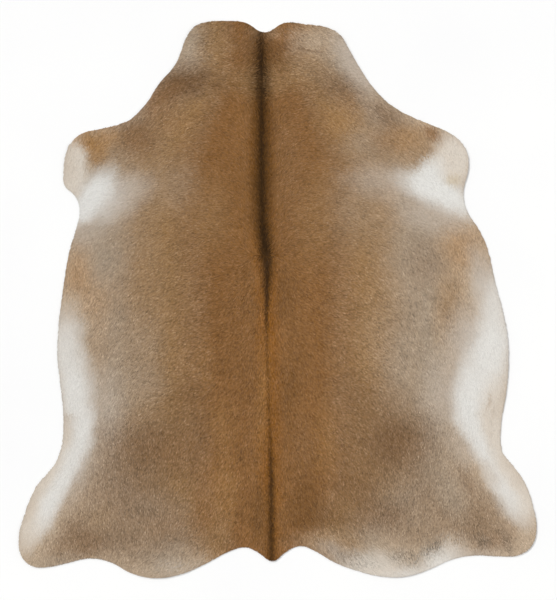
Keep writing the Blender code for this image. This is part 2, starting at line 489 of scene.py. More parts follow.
class Graph:
    """A material's node tree, built by expressions."""

    NOISE_RANGE = (0.3, 0.7)    # most of a noise's values lie between these
    RELIEF = 0.4 * MM           # how high the roughest surface stands up

    def __init__(self, name: str) -> None:
        """Start a material that has a Principled shader and its output.

        Args:
            name: The material's name.
        """
        self.material = bpy.data.materials.new(name)
        self.material.use_nodes = True
        self.tree = self.material.node_tree
        self.shader = self.tree.nodes["Principled BSDF"]

    def node(
        self, kind: str, settings: dict | None = None, output: int | str = 0, **sockets: object
    ) -> Value:
        """Add a node.

        Args:
            kind: The node's type, without ShaderNode in front.
            settings: Values of the node's own properties, or the stops of a ramp, or the
                corners of a curve.  They are set before the sockets.
            output: The output to return, by number or name.
            **sockets: Values or links by socket name, with _ for a space, or by number
                as in _0.

        Returns:
            The node's output.
        """
        made = self.tree.nodes.new("ShaderNode" + kind)
        for name, value in (settings or {}).items():
            if name == "stops":
                self._set_stops(made.color_ramp.elements, value)
            elif name == "corners":
                self._set_corners(made.mapping, value)
            else:
                setattr(made, name, value)
        for name, value in sockets.items():
            number = name[1:]
            key = int(number) if name[0] == "_" and number.isdigit() else name.replace("_", " ")
            self.feed(made.inputs[key], value)
        return Value(self, made.outputs[output])

    @staticmethod
    def _set_stops(marks: bpy.types.ColorRampElements, stops: Sequence[tuple]) -> None:
        """Set a ramp's colours.

        Args:
            marks: The ramp's marks.
            stops: Each stop's place, from 0 to 1, and colour.
        """
        while len(marks) < len(stops):
            marks.new(1.0)
        for mark, (place, colour) in zip(marks, stops):
            mark.position = place
            mark.color = colour

    @staticmethod
    def _set_corners(mapping: bpy.types.CurveMapping, corners: Sequence[tuple]) -> None:
        """Make a curve of straight pieces.

        Args:
            mapping: The node's curve.
            corners: Each corner's place and value, from 0 to 1.
        """
        points = mapping.curves[0].points
        points[0].location = corners[0]
        points[1].location = corners[-1]
        for corner in corners[1:-1]:
            points.new(*corner)
        for point in points:
            point.handle_type = "VECTOR"
        mapping.update()

    def feed(self, socket: bpy.types.NodeSocket, value: object) -> None:
        """Link a Value to a socket, or set the socket to plain numbers.

        Args:
            socket: The input socket.
            value: The Value or the numbers.
        """
        if isinstance(value, Value):
            self.tree.links.new(value.socket, socket)
        else:
            socket.default_value = value

    def dressed(self, **sockets: object) -> bpy.types.Material:
        """Finish the shader.

        Args:
            **sockets: Values or links by the shader's socket names, with _ for a space.

        Returns:
            The finished material.
        """
        for name, value in sockets.items():
            self.feed(self.shader.inputs[name.replace("_", " ")], value)
        return self.material

    def math(self, operation: str, *values: object, kind: str = "Math") -> Value:
        """Work out a number, or with the kind VectorMath a vector."""
        sockets = {f"_{number}": value for number, value in enumerate(values)}
        return self.node(kind, {"operation": operation}, **sockets)

    def vector(self, operation: str, *values: object) -> Value:
        """Work out a vector."""
        return self.math(operation, *values, kind="VectorMath")

    def scaled(self, colour: Value, share: Value | float) -> Value:
        """Multiply a colour or a vector by a number."""
        return self.node("VectorMath", {"operation": "SCALE"}, _0=colour, Scale=share)

    def mix(self, share: Value | float, first: object, second: object) -> Value:
        """Blend two colours."""
        return self.node("Mix", {"data_type": "RGBA"}, 2, _0=share, _6=first, _7=second)

    def ease(
        self, value: Value, low: float, high: float, start: float, end: float,
        kind: str = "SMOOTHSTEP",
    ) -> Value:
        """Go smoothly from start, where value is low, to end, where it is high."""
        span = {"From_Min": low, "From_Max": high, "To_Min": start, "To_Max": end}
        return self.node("MapRange", {"interpolation_type": kind}, Value=value, **span)

    def slope(self, value: Value, low: float, high: float, start: float, end: float) -> Value:
        """Go straight from start, where value is low, to end, where it is high."""
        return self.ease(value, low, high, start, end, "LINEAR")

    def noise(self, place: Value, size: float, detail: float = 2.0, seed: float = 0.0) -> Value:
        """Random values from 0 to 1 whose spots are about size metres across."""
        sizes = {"W": seed, "Scale": 1.0 / size, "Detail": detail}
        return self.node("TexNoise", {"noise_dimensions": "4D"}, Vector=place, **sizes)

    def swing(self, noise: Value, start: float, end: float) -> Value:
        """Turn a noise into values from start to end."""
        return self.slope(noise, *self.NOISE_RANGE, start, end)

    def shifts(self, place: Value, spots: float, detail: float, reach: float) -> Value:
        """Random vectors, spots of them a metre, whose parts span the reach about 0."""
        noise = self.node("TexNoise", None, "Color", Vector=place, Scale=spots, Detail=detail)
        return self.scaled(self.vector("SUBTRACT", noise, (0.5, 0.5, 0.5)), reach)

    def ramp(self, value: Value, stops: Sequence[tuple]) -> Value:
        """Colour a value.

        Args:
            value: The value.
            stops: Each stop's value and colour, in order of rising value.

        Returns:
            The colour.
        """
        low, high = stops[0][0], stops[-1][0]
        marks = [((at - low) / (high - low), colour) for at, colour in stops]
        return self.node("ValToRGB", {"stops": marks}, Fac=self.slope(value, low, high, 0.0, 1.0))

    def profile(self, place: Value, rows: Sequence[tuple[float, float]]) -> Value:
        """Follow a line of straight pieces.

        Args:
            place: Where to read the line.
            rows: Each corner's place and value, in order of falling place.

        Returns:
            The line's value at the place.
        """
        levels = [level for _, level in rows]
        low, high = min(levels), max(levels)
        first, last = rows[-1][0], rows[0][0]
        corners = [
            ((at - first) / (last - first), (level - low) / (high - low))
            for at, level in reversed(rows)
        ]
        share = self.slope(place, first, last, 0.0, 1.0)
        return self.slope(self.node("FloatCurve", {"corners": corners}, Value=share), 0.0, 1.0, low, high)

    def apart(self, place: Value) -> tuple[Value, Value]:
        """Split a place into X and Y."""
        x = self.node("SeparateXYZ", Vector=place)
        return x, Value(self, x.socket.node.outputs["Y"])

    def attribute(self, name: str, output: str) -> Value:
        """Read one of the piece's own attributes."""
        return self.node("Attribute", {"attribute_name": name}, output)

    def object_place(self) -> Value:
        """Read the place on the piece."""
        return self.node("TexCoord", output="Object")

    def bump(self, height: Value, strength: float) -> Value:
        """Raise the surface by a share of the relief."""
        return self.node("Bump", Height=height, Strength=strength, Distance=self.RELIEF)


def linear(code: str) -> tuple[float, float, float, float]:
    """Turn a colour chart's code into a shader colour.

    Args:
        code: Six hexadecimal digits, red first.

    Returns:
        Red, green, blue and 1, in scene-linear values.
    """
    parts = [int(code[place : place + 2], 16) / 255 for place in (0, 2, 4)]
    levels = [part / 12.92 if part <= 0.04045 else ((part + 0.055) / 1.055) ** 2.4 for part in parts]
    return (*levels, 1.0)


# ---------------------------------------------------------------- the coat's colours

class Tone(Enum):
    """The hair's colours."""

    SABLE = "35230E"
    BISTRE = "4A3114"
    SLATE = "595045"
    UMBER = "684826"
    BARK = "7C5E40"
    DRAB = "8F765C"
    AMBER = "8C5B25"
    CHESTNUT = "886037"
    HAZEL = "8F6C48"
    FAWN = "98764F"
    GOLD = "A1794A"
    RUSSET = "A98660"
    TAUPE = "9F8466"
    MUSHROOM = "A5937E"
    SAND = "B8A38B"
    ASH = "BDAFA0"
    STAIN = "C3AE88"
    CREAM = "D7CDC0"
    WHITE = "E0DED9"


class Patch(NamedTuple):
    """A soft patch of one colour.

    Centre, half length and half width are in centimetres and the heading of the long
    axis is in degrees from +X.  The edge is the share of the radius over which the
    patch fades out.  A flecked patch colours some locks far more than others.
    """

    tone: Tone
    x: float
    y: float
    half_length: float
    half_width: float
    heading: float
    strength: float
    edge: float = 0.9
    flecked: bool = False


class StripePoint(NamedTuple):
    """The dark line of the back at one place, in centimetres.

    The core is where it is nearly black and the shade where it fades into the coat, both
    from the line's middle.  Depth and veil are how strong the two are, from 0 to 1.
    """

    y: float
    x: float
    core: float
    shade: float
    depth: float
    veil: float


STRIPE = (
    StripePoint(107.0, -6.4, 0.7, 5.6, 0.65, 0.38),
    StripePoint(97.0, -6.3, 1.0, 6.0, 0.95, 0.78),
    StripePoint(85.0, -6.3, 0.8, 6.0, 0.90, 0.80),
    StripePoint(60.0, -6.3, 0.8, 6.6, 0.80, 0.90),
    StripePoint(45.0, -6.2, 0.8, 7.2, 0.80, 0.95),
    StripePoint(30.0, -6.2, 0.8, 6.2, 0.75, 0.95),
    StripePoint(20.0, -4.9, 1.6, 5.2, 0.80, 0.95),
    StripePoint(15.0, -4.2, 1.2, 4.8, 0.80, 0.90),
    StripePoint(8.0, -4.1, 0.9, 3.4, 0.80, 0.80),
    StripePoint(1.0, -4.2, 0.7, 2.2, 0.80, 0.60),
    StripePoint(-6.0, -4.3, 0.5, 1.4, 0.75, 0.40),
    StripePoint(-18.0, -4.1, 0.3, 1.0, 0.35, 0.15),
    StripePoint(-40.0, -3.4, 0.3, 1.0, 0.50, 0.10),
    StripePoint(-54.0, -2.9, 0.4, 1.4, 0.50, 0.25),
    StripePoint(-68.0, -2.6, 0.8, 2.6, 0.65, 0.50),
    StripePoint(-90.0, -2.5, 0.8, 2.8, 0.65, 0.55),
    StripePoint(-108.0, -2.4, 0.9, 3.6, 0.65, 0.60),
)

PATCHES = (
    # tone, x, y, half length, half width, heading, strength, edge, flecked
    # neck
    Patch(Tone.TAUPE, -5.0, 106.5, 5.0, 3.0, 0.0, 0.55),
    # painted sheen: a lighter band where the light catches the tilted hair along the neck's left edge
    Patch(Tone.SAND, -37.0, 97.0, 8.0, 5.5, 65.0, 0.55),
    Patch(Tone.SAND, 18.0, 104.5, 7.5, 3.0, 0.0, 0.60),
    Patch(Tone.SAND, 13.0, 101.0, 8.0, 6.5, 0.0, 0.70),
    # painted sheen: a grey-pale band where the light catches the tilted hair at the neck's right edge
    Patch(Tone.ASH, 29.0, 97.0, 9.0, 6.0, -60.0, 0.95, 0.7),
    Patch(Tone.FAWN, -7.5, 86.5, 11.0, 6.0, 0.0, 0.85),
    Patch(Tone.FAWN, 7.0, 89.5, 9.0, 5.5, 0.0, 0.75),
    # the next two darker patches lie over the neck folds: painted fold shadow
    Patch(Tone.BARK, -36.5, 85.0, 12.0, 7.0, 10.0, 1.00, 0.8),
    Patch(Tone.BARK, 22.0, 84.5, 8.5, 5.0, -5.0, 0.70, 0.8),
    Patch(Tone.TAUPE, 12.5, 91.0, 9.0, 4.0, -20.0, 0.55),
    # more of the painted sheen at the neck's right edge
    Patch(Tone.ASH, 34.0, 88.0, 6.5, 5.0, -60.0, 0.80),
    Patch(Tone.UMBER, -1.0, 95.5, 6.0, 4.5, 90.0, 0.50),
    Patch(Tone.UMBER, -11.0, 93.0, 8.0, 4.0, 85.0, 0.30),
    Patch(Tone.CHESTNUT, -46.5, 78.5, 8.0, 4.5, 40.0, 0.70),
    Patch(Tone.HAZEL, 27.5, 78.0, 6.0, 4.5, -20.0, 0.60),
    Patch(Tone.GOLD, -41.0, 71.5, 10.0, 5.5, 20.0, 0.50),
    Patch(Tone.GOLD, 23.5, 70.5, 9.0, 7.0, 0.0, 0.40),
    Patch(Tone.BARK, 42.5, 72.5, 8.0, 4.5, -40.0, 0.65),
    Patch(Tone.BARK, -55.0, 64.5, 7.5, 6.0, -20.0, 0.75, 0.8),
    Patch(Tone.BARK, -9.0, 101.0, 6.0, 5.0, 0.0, 0.35),
    Patch(Tone.FAWN, -22.5, 101.5, 6.0, 5.0, 0.0, 0.40),
    # thin dark lines along the neck wrinkles: painted crease shade
    Patch(Tone.UMBER, 12.0, 98.6, 5.0, 0.7, -8.0, 0.55),
    Patch(Tone.UMBER, -25.0, 84.0, 9.0, 0.8, -3.0, 0.40),
    Patch(Tone.UMBER, -33.0, 87.3, 9.0, 0.8, 6.0, 0.35),
    # shoulders
    Patch(Tone.FAWN, 15.0, 34.0, 17.0, 7.0, 85.0, 0.50),
    Patch(Tone.MUSHROOM, 30.5, 37.5, 13.0, 8.0, 90.0, 0.35),
    Patch(Tone.MUSHROOM, 33.5, 61.0, 8.0, 6.0, 0.0, 0.50),
    Patch(Tone.MUSHROOM, -41.0, 45.0, 9.0, 8.0, 90.0, 0.35),
    Patch(Tone.HAZEL, -45.0, 72.0, 7.5, 6.0, 0.0, 0.55),
    Patch(Tone.FAWN, -52.5, 8.0, 12.0, 8.0, 90.0, 0.45),
    Patch(Tone.MUSHROOM, -51.0, -18.0, 9.0, 5.5, 90.0, 0.25),
    Patch(Tone.FAWN, -26.0, 33.0, 13.0, 7.0, 90.0, 0.50),
    Patch(Tone.UMBER, 2.5, 4.0, 10.0, 4.0, 90.0, 0.35),
    Patch(Tone.GOLD, -5.5, -38.0, 18.0, 2.5, 88.0, 0.35),
    Patch(Tone.HAZEL, 4.0, 50.0, 22.0, 6.0, 90.0, 0.35),
    Patch(Tone.GOLD, -29.0, -27.0, 11.0, 4.0, 90.0, 0.25),
    # left foreleg
    Patch(Tone.ASH, -76.5, 27.0, 5.5, 5.5, 90.0, 0.75),
    Patch(Tone.MUSHROOM, -68.0, 17.5, 9.0, 8.0, 90.0, 0.50),
    Patch(Tone.RUSSET, -71.0, 1.0, 8.0, 7.0, 90.0, 0.50),
    Patch(Tone.ASH, -61.0, 43.5, 9.5, 5.5, 15.0, 0.90),
    Patch(Tone.ASH, -63.5, 37.5, 11.5, 6.0, 33.0, 0.66),
    Patch(Tone.RUSSET, -79.0, 9.0, 11.0, 5.0, 85.0, 0.75, 0.8),
    Patch(Tone.HAZEL, -56.0, 63.0, 8.5, 6.0, -20.0, 0.70),
    Patch(Tone.RUSSET, -67.0, 63.5, 6.0, 4.5, -10.0, 0.90, 0.7),
    Patch(Tone.TAUPE, -68.5, 56.0, 8.5, 4.8, 10.0, 0.75, 0.7),
    Patch(Tone.CREAM, -80.5, 52.0, 12.0, 6.0, 85.0, 1.00, 0.5),
    Patch(Tone.SAND, -83.5, 54.0, 7.0, 3.5, 90.0, 0.30),
    Patch(Tone.GOLD, -74.5, 63.0, 6.0, 3.5, -15.0, 0.85, 0.8),
    Patch(Tone.WHITE, -71.5, 42.5, 9.8, 5.2, 53.0, 1.00, 0.7),
    Patch(Tone.WHITE, -76.0, 36.0, 7.0, 4.2, 45.0, 0.90, 0.7),
    Patch(Tone.WHITE, -67.5, 38.0, 7.0, 5.0, 45.0, 0.45),
    Patch(Tone.GOLD, -71.0, 58.0, 4.5, 4.0, 90.0, 0.65, 0.7),
    # right foreleg
    Patch(Tone.MUSHROOM, 53.5, 19.0, 17.5, 8.5, 90.0, 0.70),
    Patch(Tone.ASH, 41.5, 47.0, 12.0, 6.0, -5.0, 0.60),
    Patch(Tone.ASH, 59.0, 34.0, 12.0, 6.0, -20.0, 0.70),
    Patch(Tone.HAZEL, 43.0, 63.5, 6.5, 4.8, -10.0, 0.60),
    Patch(Tone.GOLD, 53.0, 63.0, 8.0, 6.5, -15.0, 0.65, 0.8),
    Patch(Tone.CHESTNUT, 61.0, 66.0, 3.5, 2.2, -30.0, 0.80, 0.8),
    Patch(Tone.RUSSET, 72.5, 21.0, 8.5, 8.0, -50.0, 0.75, 0.8),
    Patch(Tone.CREAM, 69.0, 55.5, 10.5, 8.0, 80.0, 1.00, 0.5),
    Patch(Tone.WHITE, 62.5, 43.3, 14.0, 5.3, -19.0, 1.00, 0.7),
    Patch(Tone.WHITE, 59.0, 49.5, 7.0, 5.0, 55.0, 0.95, 0.7),
    Patch(Tone.WHITE, 70.0, 37.5, 7.5, 4.5, -25.0, 0.75, 0.8),
    Patch(Tone.ASH, 68.0, 31.5, 6.0, 3.0, -30.0, 0.45),
    Patch(Tone.TAUPE, 55.5, 59.0, 7.5, 3.2, 45.0, 0.60, 0.8),
    Patch(Tone.STAIN, 68.5, 47.5, 2.5, 2.0, 30.0, 0.50),
    Patch(Tone.ASH, 81.0, 9.0, 11.0, 4.5, -72.0, 0.85, 0.8),
    # left belly
    Patch(Tone.SAND, -82.0, -0.5, 5.5, 4.5, 90.0, 0.70, 0.8),
    Patch(Tone.RUSSET, -69.5, -18.0, 14.0, 5.0, 90.0, 0.30),
    Patch(Tone.WHITE, -83.8, -18.0, 12.5, 6.2, 86.0, 0.78, 0.8),
    Patch(Tone.WHITE, -79.5, -36.0, 13.5, 6.5, 90.0, 0.90, 0.7),
    Patch(Tone.ASH, -68.5, -42.0, 13.5, 6.5, 90.0, 0.60),
    # right belly
    Patch(Tone.FAWN, 67.5, -1.0, 13.0, 5.5, 85.0, 0.65),
    Patch(Tone.ASH, 66.0, -36.0, 13.0, 8.0, 90.0, 0.70),
    Patch(Tone.CREAM, 84.0, -39.0, 12.5, 7.0, 80.0, 0.80, 0.7),
    Patch(Tone.ASH, 74.5, -14.5, 11.0, 7.0, 85.0, 0.90),
    Patch(Tone.WHITE, 82.5, -1.0, 9.0, 4.5, -80.0, 0.35),
    Patch(Tone.WHITE, 86.5, 0.0, 15.0, 4.5, 78.0, 0.60, 0.8),
    Patch(Tone.WHITE, 84.0, -20.0, 14.0, 8.5, 72.0, 0.90, 0.7),
    Patch(Tone.WHITE, 75.5, -36.5, 12.0, 6.0, 82.0, 0.90, 0.7),
    Patch(Tone.SAND, 89.5, -42.0, 6.0, 2.5, 82.0, 0.30),
    # thin dark lines along the right flank wrinkle: painted crease shade
    Patch(Tone.TAUPE, 83.0, -40.5, 3.5, 0.6, 75.0, 0.55),
    Patch(Tone.TAUPE, 85.0, -45.5, 3.5, 0.6, 80.0, 0.45),
    Patch(Tone.TAUPE, 81.0, -49.5, 2.5, 0.5, -60.0, 0.40),
    Patch(Tone.MUSHROOM, 49.0, -24.0, 17.0, 7.5, 85.0, 0.65),
    Patch(Tone.TAUPE, 39.0, -14.0, 10.0, 6.0, 90.0, 0.40),
    Patch(Tone.BARK, 58.0, 14.5, 9.0, 6.0, 90.0, 0.35),
    Patch(Tone.BARK, 34.0, -38.5, 12.0, 8.0, 0.0, 0.50),
    Patch(Tone.UMBER, 6.0, -32.0, 20.0, 4.0, 85.0, 0.30),
    # a thin dark line in the left belly's white: painted crease shade
    Patch(Tone.TAUPE, -80.0, -45.8, 4.0, 0.6, 5.0, 0.40),
    # left hind leg
    Patch(Tone.BARK, -50.0, -57.0, 18.0, 10.0, 5.0, 0.80),
    Patch(Tone.BARK, -59.0, -75.5, 18.0, 11.5, 0.0, 0.65),
    Patch(Tone.HAZEL, -38.0, -59.0, 9.0, 7.0, 0.0, 0.45),
    Patch(Tone.UMBER, -37.5, -37.5, 8.5, 6.5, 0.0, 0.30),
    Patch(Tone.MUSHROOM, -53.0, -33.0, 8.0, 7.0, 0.0, 0.40),
    Patch(Tone.DRAB, -56.5, -90.5, 22.0, 11.5, 0.0, 0.90, 0.8),
    Patch(Tone.TAUPE, -70.0, -85.5, 5.5, 3.5, 25.0, 0.55),
    Patch(Tone.BARK, -76.5, -95.0, 8.0, 5.0, 0.0, 0.75),
    Patch(Tone.HAZEL, -41.0, -88.0, 8.0, 5.5, 0.0, 0.35),
    Patch(Tone.ASH, -79.5, -70.5, 10.0, 4.0, 63.0, 0.60),
    Patch(Tone.CREAM, -85.5, -59.0, 10.0, 4.5, 80.0, 0.90, 0.7),
    Patch(Tone.CREAM, -92.0, -75.0, 12.0, 6.5, 65.0, 0.90, 0.6),
    Patch(Tone.CREAM, -98.0, -86.0, 9.5, 5.8, 72.0, 0.80, 0.6),
    Patch(Tone.SAND, -98.5, -81.5, 9.0, 2.5, 66.0, 0.35),
    Patch(Tone.WHITE, -76.5, -49.5, 9.5, 4.0, 86.0, 0.80, 0.8),
    Patch(Tone.WHITE, -79.0, -59.5, 9.0, 3.4, 72.0, 0.80, 0.8),
    Patch(Tone.WHITE, -84.0, -69.5, 9.0, 3.4, 66.0, 0.80, 0.8),
    Patch(Tone.WHITE, -89.5, -79.5, 9.0, 3.4, 62.0, 0.80, 0.8),
    Patch(Tone.WHITE, -91.0, -86.0, 6.5, 3.0, 60.0, 0.60),
    Patch(Tone.BARK, -80.5, -88.5, 6.0, 3.0, 62.0, 0.40),
    Patch(Tone.DRAB, -84.0, -98.0, 7.5, 4.5, 20.0, 0.75),
    Patch(Tone.MUSHROOM, -85.0, -103.0, 8.0, 2.8, 0.0, 0.60),
    Patch(Tone.CREAM, -96.5, -93.0, 7.0, 3.0, 62.0, 0.60),
    Patch(Tone.SAND, -36.5, -104.5, 12.0, 5.0, 0.0, 0.75, 0.8),
    Patch(Tone.SLATE, -45.0, -102.5, 9.0, 3.0, -10.0, 0.45, 0.9, True),
    Patch(Tone.CREAM, -38.0, -105.5, 9.0, 3.0, 0.0, 0.50, 0.9, True),
    # right hind leg
    Patch(Tone.BARK, 45.0, -56.0, 15.0, 12.0, 0.0, 0.95),
    Patch(Tone.BARK, 33.5, -75.5, 8.5, 7.5, 90.0, 0.70),
    Patch(Tone.DRAB, 58.0, -78.0, 13.0, 11.0, 0.0, 0.70),
    Patch(Tone.BARK, 44.0, -84.5, 6.0, 5.0, 0.0, 0.50),
    Patch(Tone.UMBER, 10.5, -79.0, 11.0, 5.5, 75.0, 0.50),
    Patch(Tone.UMBER, 26.0, -68.0, 7.0, 4.5, 90.0, 0.20),
    Patch(Tone.BARK, 36.0, -86.0, 12.0, 6.0, 0.0, 0.50),
    Patch(Tone.DRAB, 76.5, -86.5, 14.0, 9.5, 0.0, 0.90, 0.8),
    Patch(Tone.BARK, 75.0, -71.0, 8.0, 3.5, -58.0, 0.45),
    Patch(Tone.MUSHROOM, 68.5, -77.0, 9.0, 4.5, -65.0, 0.70),
    Patch(Tone.BARK, 86.0, -94.5, 7.0, 4.0, 0.0, 0.50),
    Patch(Tone.CREAM, 66.5, -96.5, 6.5, 3.3, 15.0, 0.75, 0.9, True),
    Patch(Tone.SLATE, 81.0, -94.3, 2.8, 1.9, -20.0, 0.90, 0.9, True),
    Patch(Tone.SLATE, 90.5, -96.5, 5.5, 1.6, -68.0, 0.60, 0.9, True),
    Patch(Tone.SAND, 99.0, -90.0, 8.0, 3.5, 75.0, 0.60),
    Patch(Tone.CREAM, 84.0, -49.5, 8.5, 6.0, 85.0, 0.65, 0.7),
    Patch(Tone.CREAM, 89.0, -60.0, 12.0, 6.0, -65.0, 0.90, 0.6),
    Patch(Tone.CREAM, 96.0, -74.0, 12.0, 6.5, -62.0, 0.90, 0.6),
    Patch(Tone.SAND, 94.0, -65.5, 8.0, 3.0, -60.0, 0.35),
    Patch(Tone.WHITE, 76.0, -48.5, 9.5, 3.8, -75.0, 0.85, 0.8),
    Patch(Tone.WHITE, 80.5, -59.5, 9.0, 3.4, -66.0, 0.85, 0.8),
    Patch(Tone.WHITE, 86.0, -70.5, 9.0, 3.4, -58.0, 0.70, 0.8),
    Patch(Tone.ASH, 73.0, -58.5, 6.0, 4.0, -60.0, 0.50),
    Patch(Tone.WHITE, 91.0, -79.0, 9.5, 3.6, -54.0, 0.65),
    Patch(Tone.SAND, 83.0, -68.0, 6.0, 2.5, -58.0, 0.40),
    # rump
    Patch(Tone.CHESTNUT, -28.5, -85.0, 10.0, 5.0, 90.0, 0.60),
    Patch(Tone.UMBER, -6.5, -84.0, 9.0, 3.5, 90.0, 0.50),
    Patch(Tone.UMBER, 17.5, -85.5, 7.0, 5.0, 0.0, 0.45),
    Patch(Tone.GOLD, -20.5, -75.5, 14.0, 4.5, 90.0, 0.50),
    Patch(Tone.GOLD, 18.5, -55.0, 12.0, 4.0, 90.0, 0.30),
    Patch(Tone.GOLD, -21.5, -49.0, 9.0, 4.5, 90.0, 0.30),
    Patch(Tone.BARK, 10.0, -58.0, 9.0, 4.0, 90.0, 0.30),
    Patch(Tone.TAUPE, 20.0, -96.0, 11.0, 5.0, 0.0, 0.95),
    Patch(Tone.CREAM, 36.0, -106.0, 13.0, 6.5, 0.0, 0.95, 0.7),
    Patch(Tone.ASH, 23.0, -99.5, 7.0, 3.0, -28.0, 0.60),
    Patch(Tone.CREAM, 65.0, -104.0, 9.0, 6.0, 12.0, 1.00, 0.6),
    Patch(Tone.WHITE, 65.0, -102.5, 5.5, 3.5, 20.0, 0.60),
    Patch(Tone.WHITE, 52.0, -108.0, 8.0, 2.5, 6.0, 0.60),
    Patch(Tone.ASH, 76.5, -100.0, 8.0, 2.4, 3.0, 0.60),
    Patch(Tone.DRAB, 52.0, -92.0, 9.0, 4.5, 0.0, 0.60),
    Patch(Tone.SLATE, 51.0, -102.0, 7.5, 3.0, -8.0, 0.80, 0.8, True),
    Patch(Tone.SLATE, 30.0, -102.0, 9.0, 3.0, -15.0, 0.50, 0.9, True),
    Patch(Tone.SLATE, 61.0, -98.0, 5.5, 2.6, 40.0, 1.00, 0.8, True),
    Patch(Tone.CREAM, 58.0, -103.0, 6.0, 3.0, 20.0, 0.60, 0.9, True),
)


@dataclass(frozen=True)
class CoatColours:
    """The hair's colours over the whole hide, by place."""

    back: tuple[tuple[float, Tone], ...] = (
        (0.00, Tone.AMBER),
        (0.06, Tone.CHESTNUT),
        (0.20, Tone.CHESTNUT),
        (0.28, Tone.HAZEL),
        (0.38, Tone.FAWN),
        (0.50, Tone.TAUPE),
        (0.62, Tone.MUSHROOM),
        (0.80, Tone.SAND),
    )
    neck_levels: Span = (0.5, 0.95)     # the ramp narrows between these
    neck_narrowing: float = 0.55
    rump_levels: Span = (-0.66, -0.95)
    rump_narrowing: float = 0.40
    drift: tuple[float, float, float] = (16.0, 3.0, 0.04)   # spots a metre, detail, reach
    fray: tuple[float, float, float] = (85.0, 2.0, 0.012)
    stripe_mixing: float = 6.0 * MM
    core_fade: float = 1.8      # the line's core fades out at this many times its width
    fleck_draws: Span = (0.5, 0.65)     # from unflecked locks to flecked
    fleck_rest: float = 0.05    # a flecked patch's share on all other locks

    def spine_distance(self, graph: Graph, x: Value, y: Value) -> Value:
        """Work out the distance from the spine line, in metres."""
        return abs(x - graph.profile(y, [(point.y * CM, point.x * CM) for point in SPINE]))

    def build(self, graph: Graph, place: Value, each: Value | None = None) -> Value:
        """Make the colour for a place on the hide.

        Args:
            graph: The material's nodes.
            place: The hair root's place.
            each: A random number of each lock's own, or None where there are no locks.

        Returns:
            The colour.
        """
        drift = graph.shifts(place, *self.drift)
        frayed = graph.shifts(place, *self.fray)
        moved = graph.vector("ADD", graph.vector("ADD", place, drift), frayed)
        x, y = graph.apart(moved)
        narrow = graph.ease(y, *self.neck_levels, 1.0, 1.0 - self.neck_narrowing)
        narrow = narrow * graph.ease(y, *self.rump_levels, 1.0, 1.0 - self.rump_narrowing)
        stops = [(share, linear(tone.value)) for share, tone in self.back]
        colour = graph.ramp(self.spine_distance(graph, x, y) / narrow, stops)
        point = graph.node("Mapping", Vector=moved)
        for patch in PATCHES:
            colour = self._patched(graph, colour, point, patch, each)
        across, along = graph.apart(graph.vector("ADD", place, frayed))
        if each is not None:
            across = across + (each - 0.5) * self.stripe_mixing
        return self._striped(graph, colour, across, along)

    def _patched(
        self, graph: Graph, colour: Value, place: Value, patch: Patch, each: Value | None
    ) -> Value:
        """Lay one soft patch over the colour.

        The place has to come from a Mapping node: Cycles then converts nothing in
        between, and works through the patches one by one in little memory.  The glow
        falls evenly from 1 in the patch's middle to 0 at twice its radius.

        Args:
            graph: The material's nodes.
            colour: The colour so far.
            place: The place on the hide.
            patch: The patch.
            each: A random number of each lock's own, or None where there are no locks.

        Returns:
            The colour with the patch on it.
        """
        own = graph.node(
            "Mapping",
            {"vector_type": "TEXTURE"},
            Vector=place,
            Location=(patch.x * CM, patch.y * CM, 0.0),
            Rotation=(0.0, 0.0, math.radians(patch.heading)),
            Scale=(2.0 * patch.half_length * CM, 2.0 * patch.half_width * CM, 1.0),
        )
        glow = graph.node("TexGradient", {"gradient_type": "SPHERICAL"}, "Fac", Vector=own)
        fade = 0.5 * patch.edge
        share = graph.ease(glow, 0.5 - fade, 0.5 + fade, 0.0, patch.strength)
        if patch.flecked and each is not None:
            share = share * graph.ease(each, *self.fleck_draws, self.fleck_rest, 1.0)
        return graph.mix(share, colour, linear(patch.tone.value))

    def _striped(self, graph: Graph, colour: Value, x: Value, y: Value) -> Value:
        """Lay the dark line of the back over the colour.

        Args:
            graph: The material's nodes.
            colour: The colour so far.
            x: The place across the hide.
            y: The place along it.

        Returns:
            The colour with the line on it.
        """
        line, core, shade, depth, veil = (
            graph.profile(y, [(row.y * CM, getattr(row, name) * unit) for row in STRIPE])
            for name, unit in (("x", CM), ("core", CM), ("shade", CM), ("depth", 1.0), ("veil", 1.0))
        )
        off = abs(x - line)
        veiled = graph.ease(off / shade, 0.0, 1.0, 1.0, 0.0) * veil
        colour = graph.mix(veiled, colour, linear(Tone.BISTRE.value))
        dark = graph.ease(off / core, 0.0, self.core_fade, 1.0, 0.0) * depth
        return graph.mix(dark, colour, linear(Tone.SABLE.value))


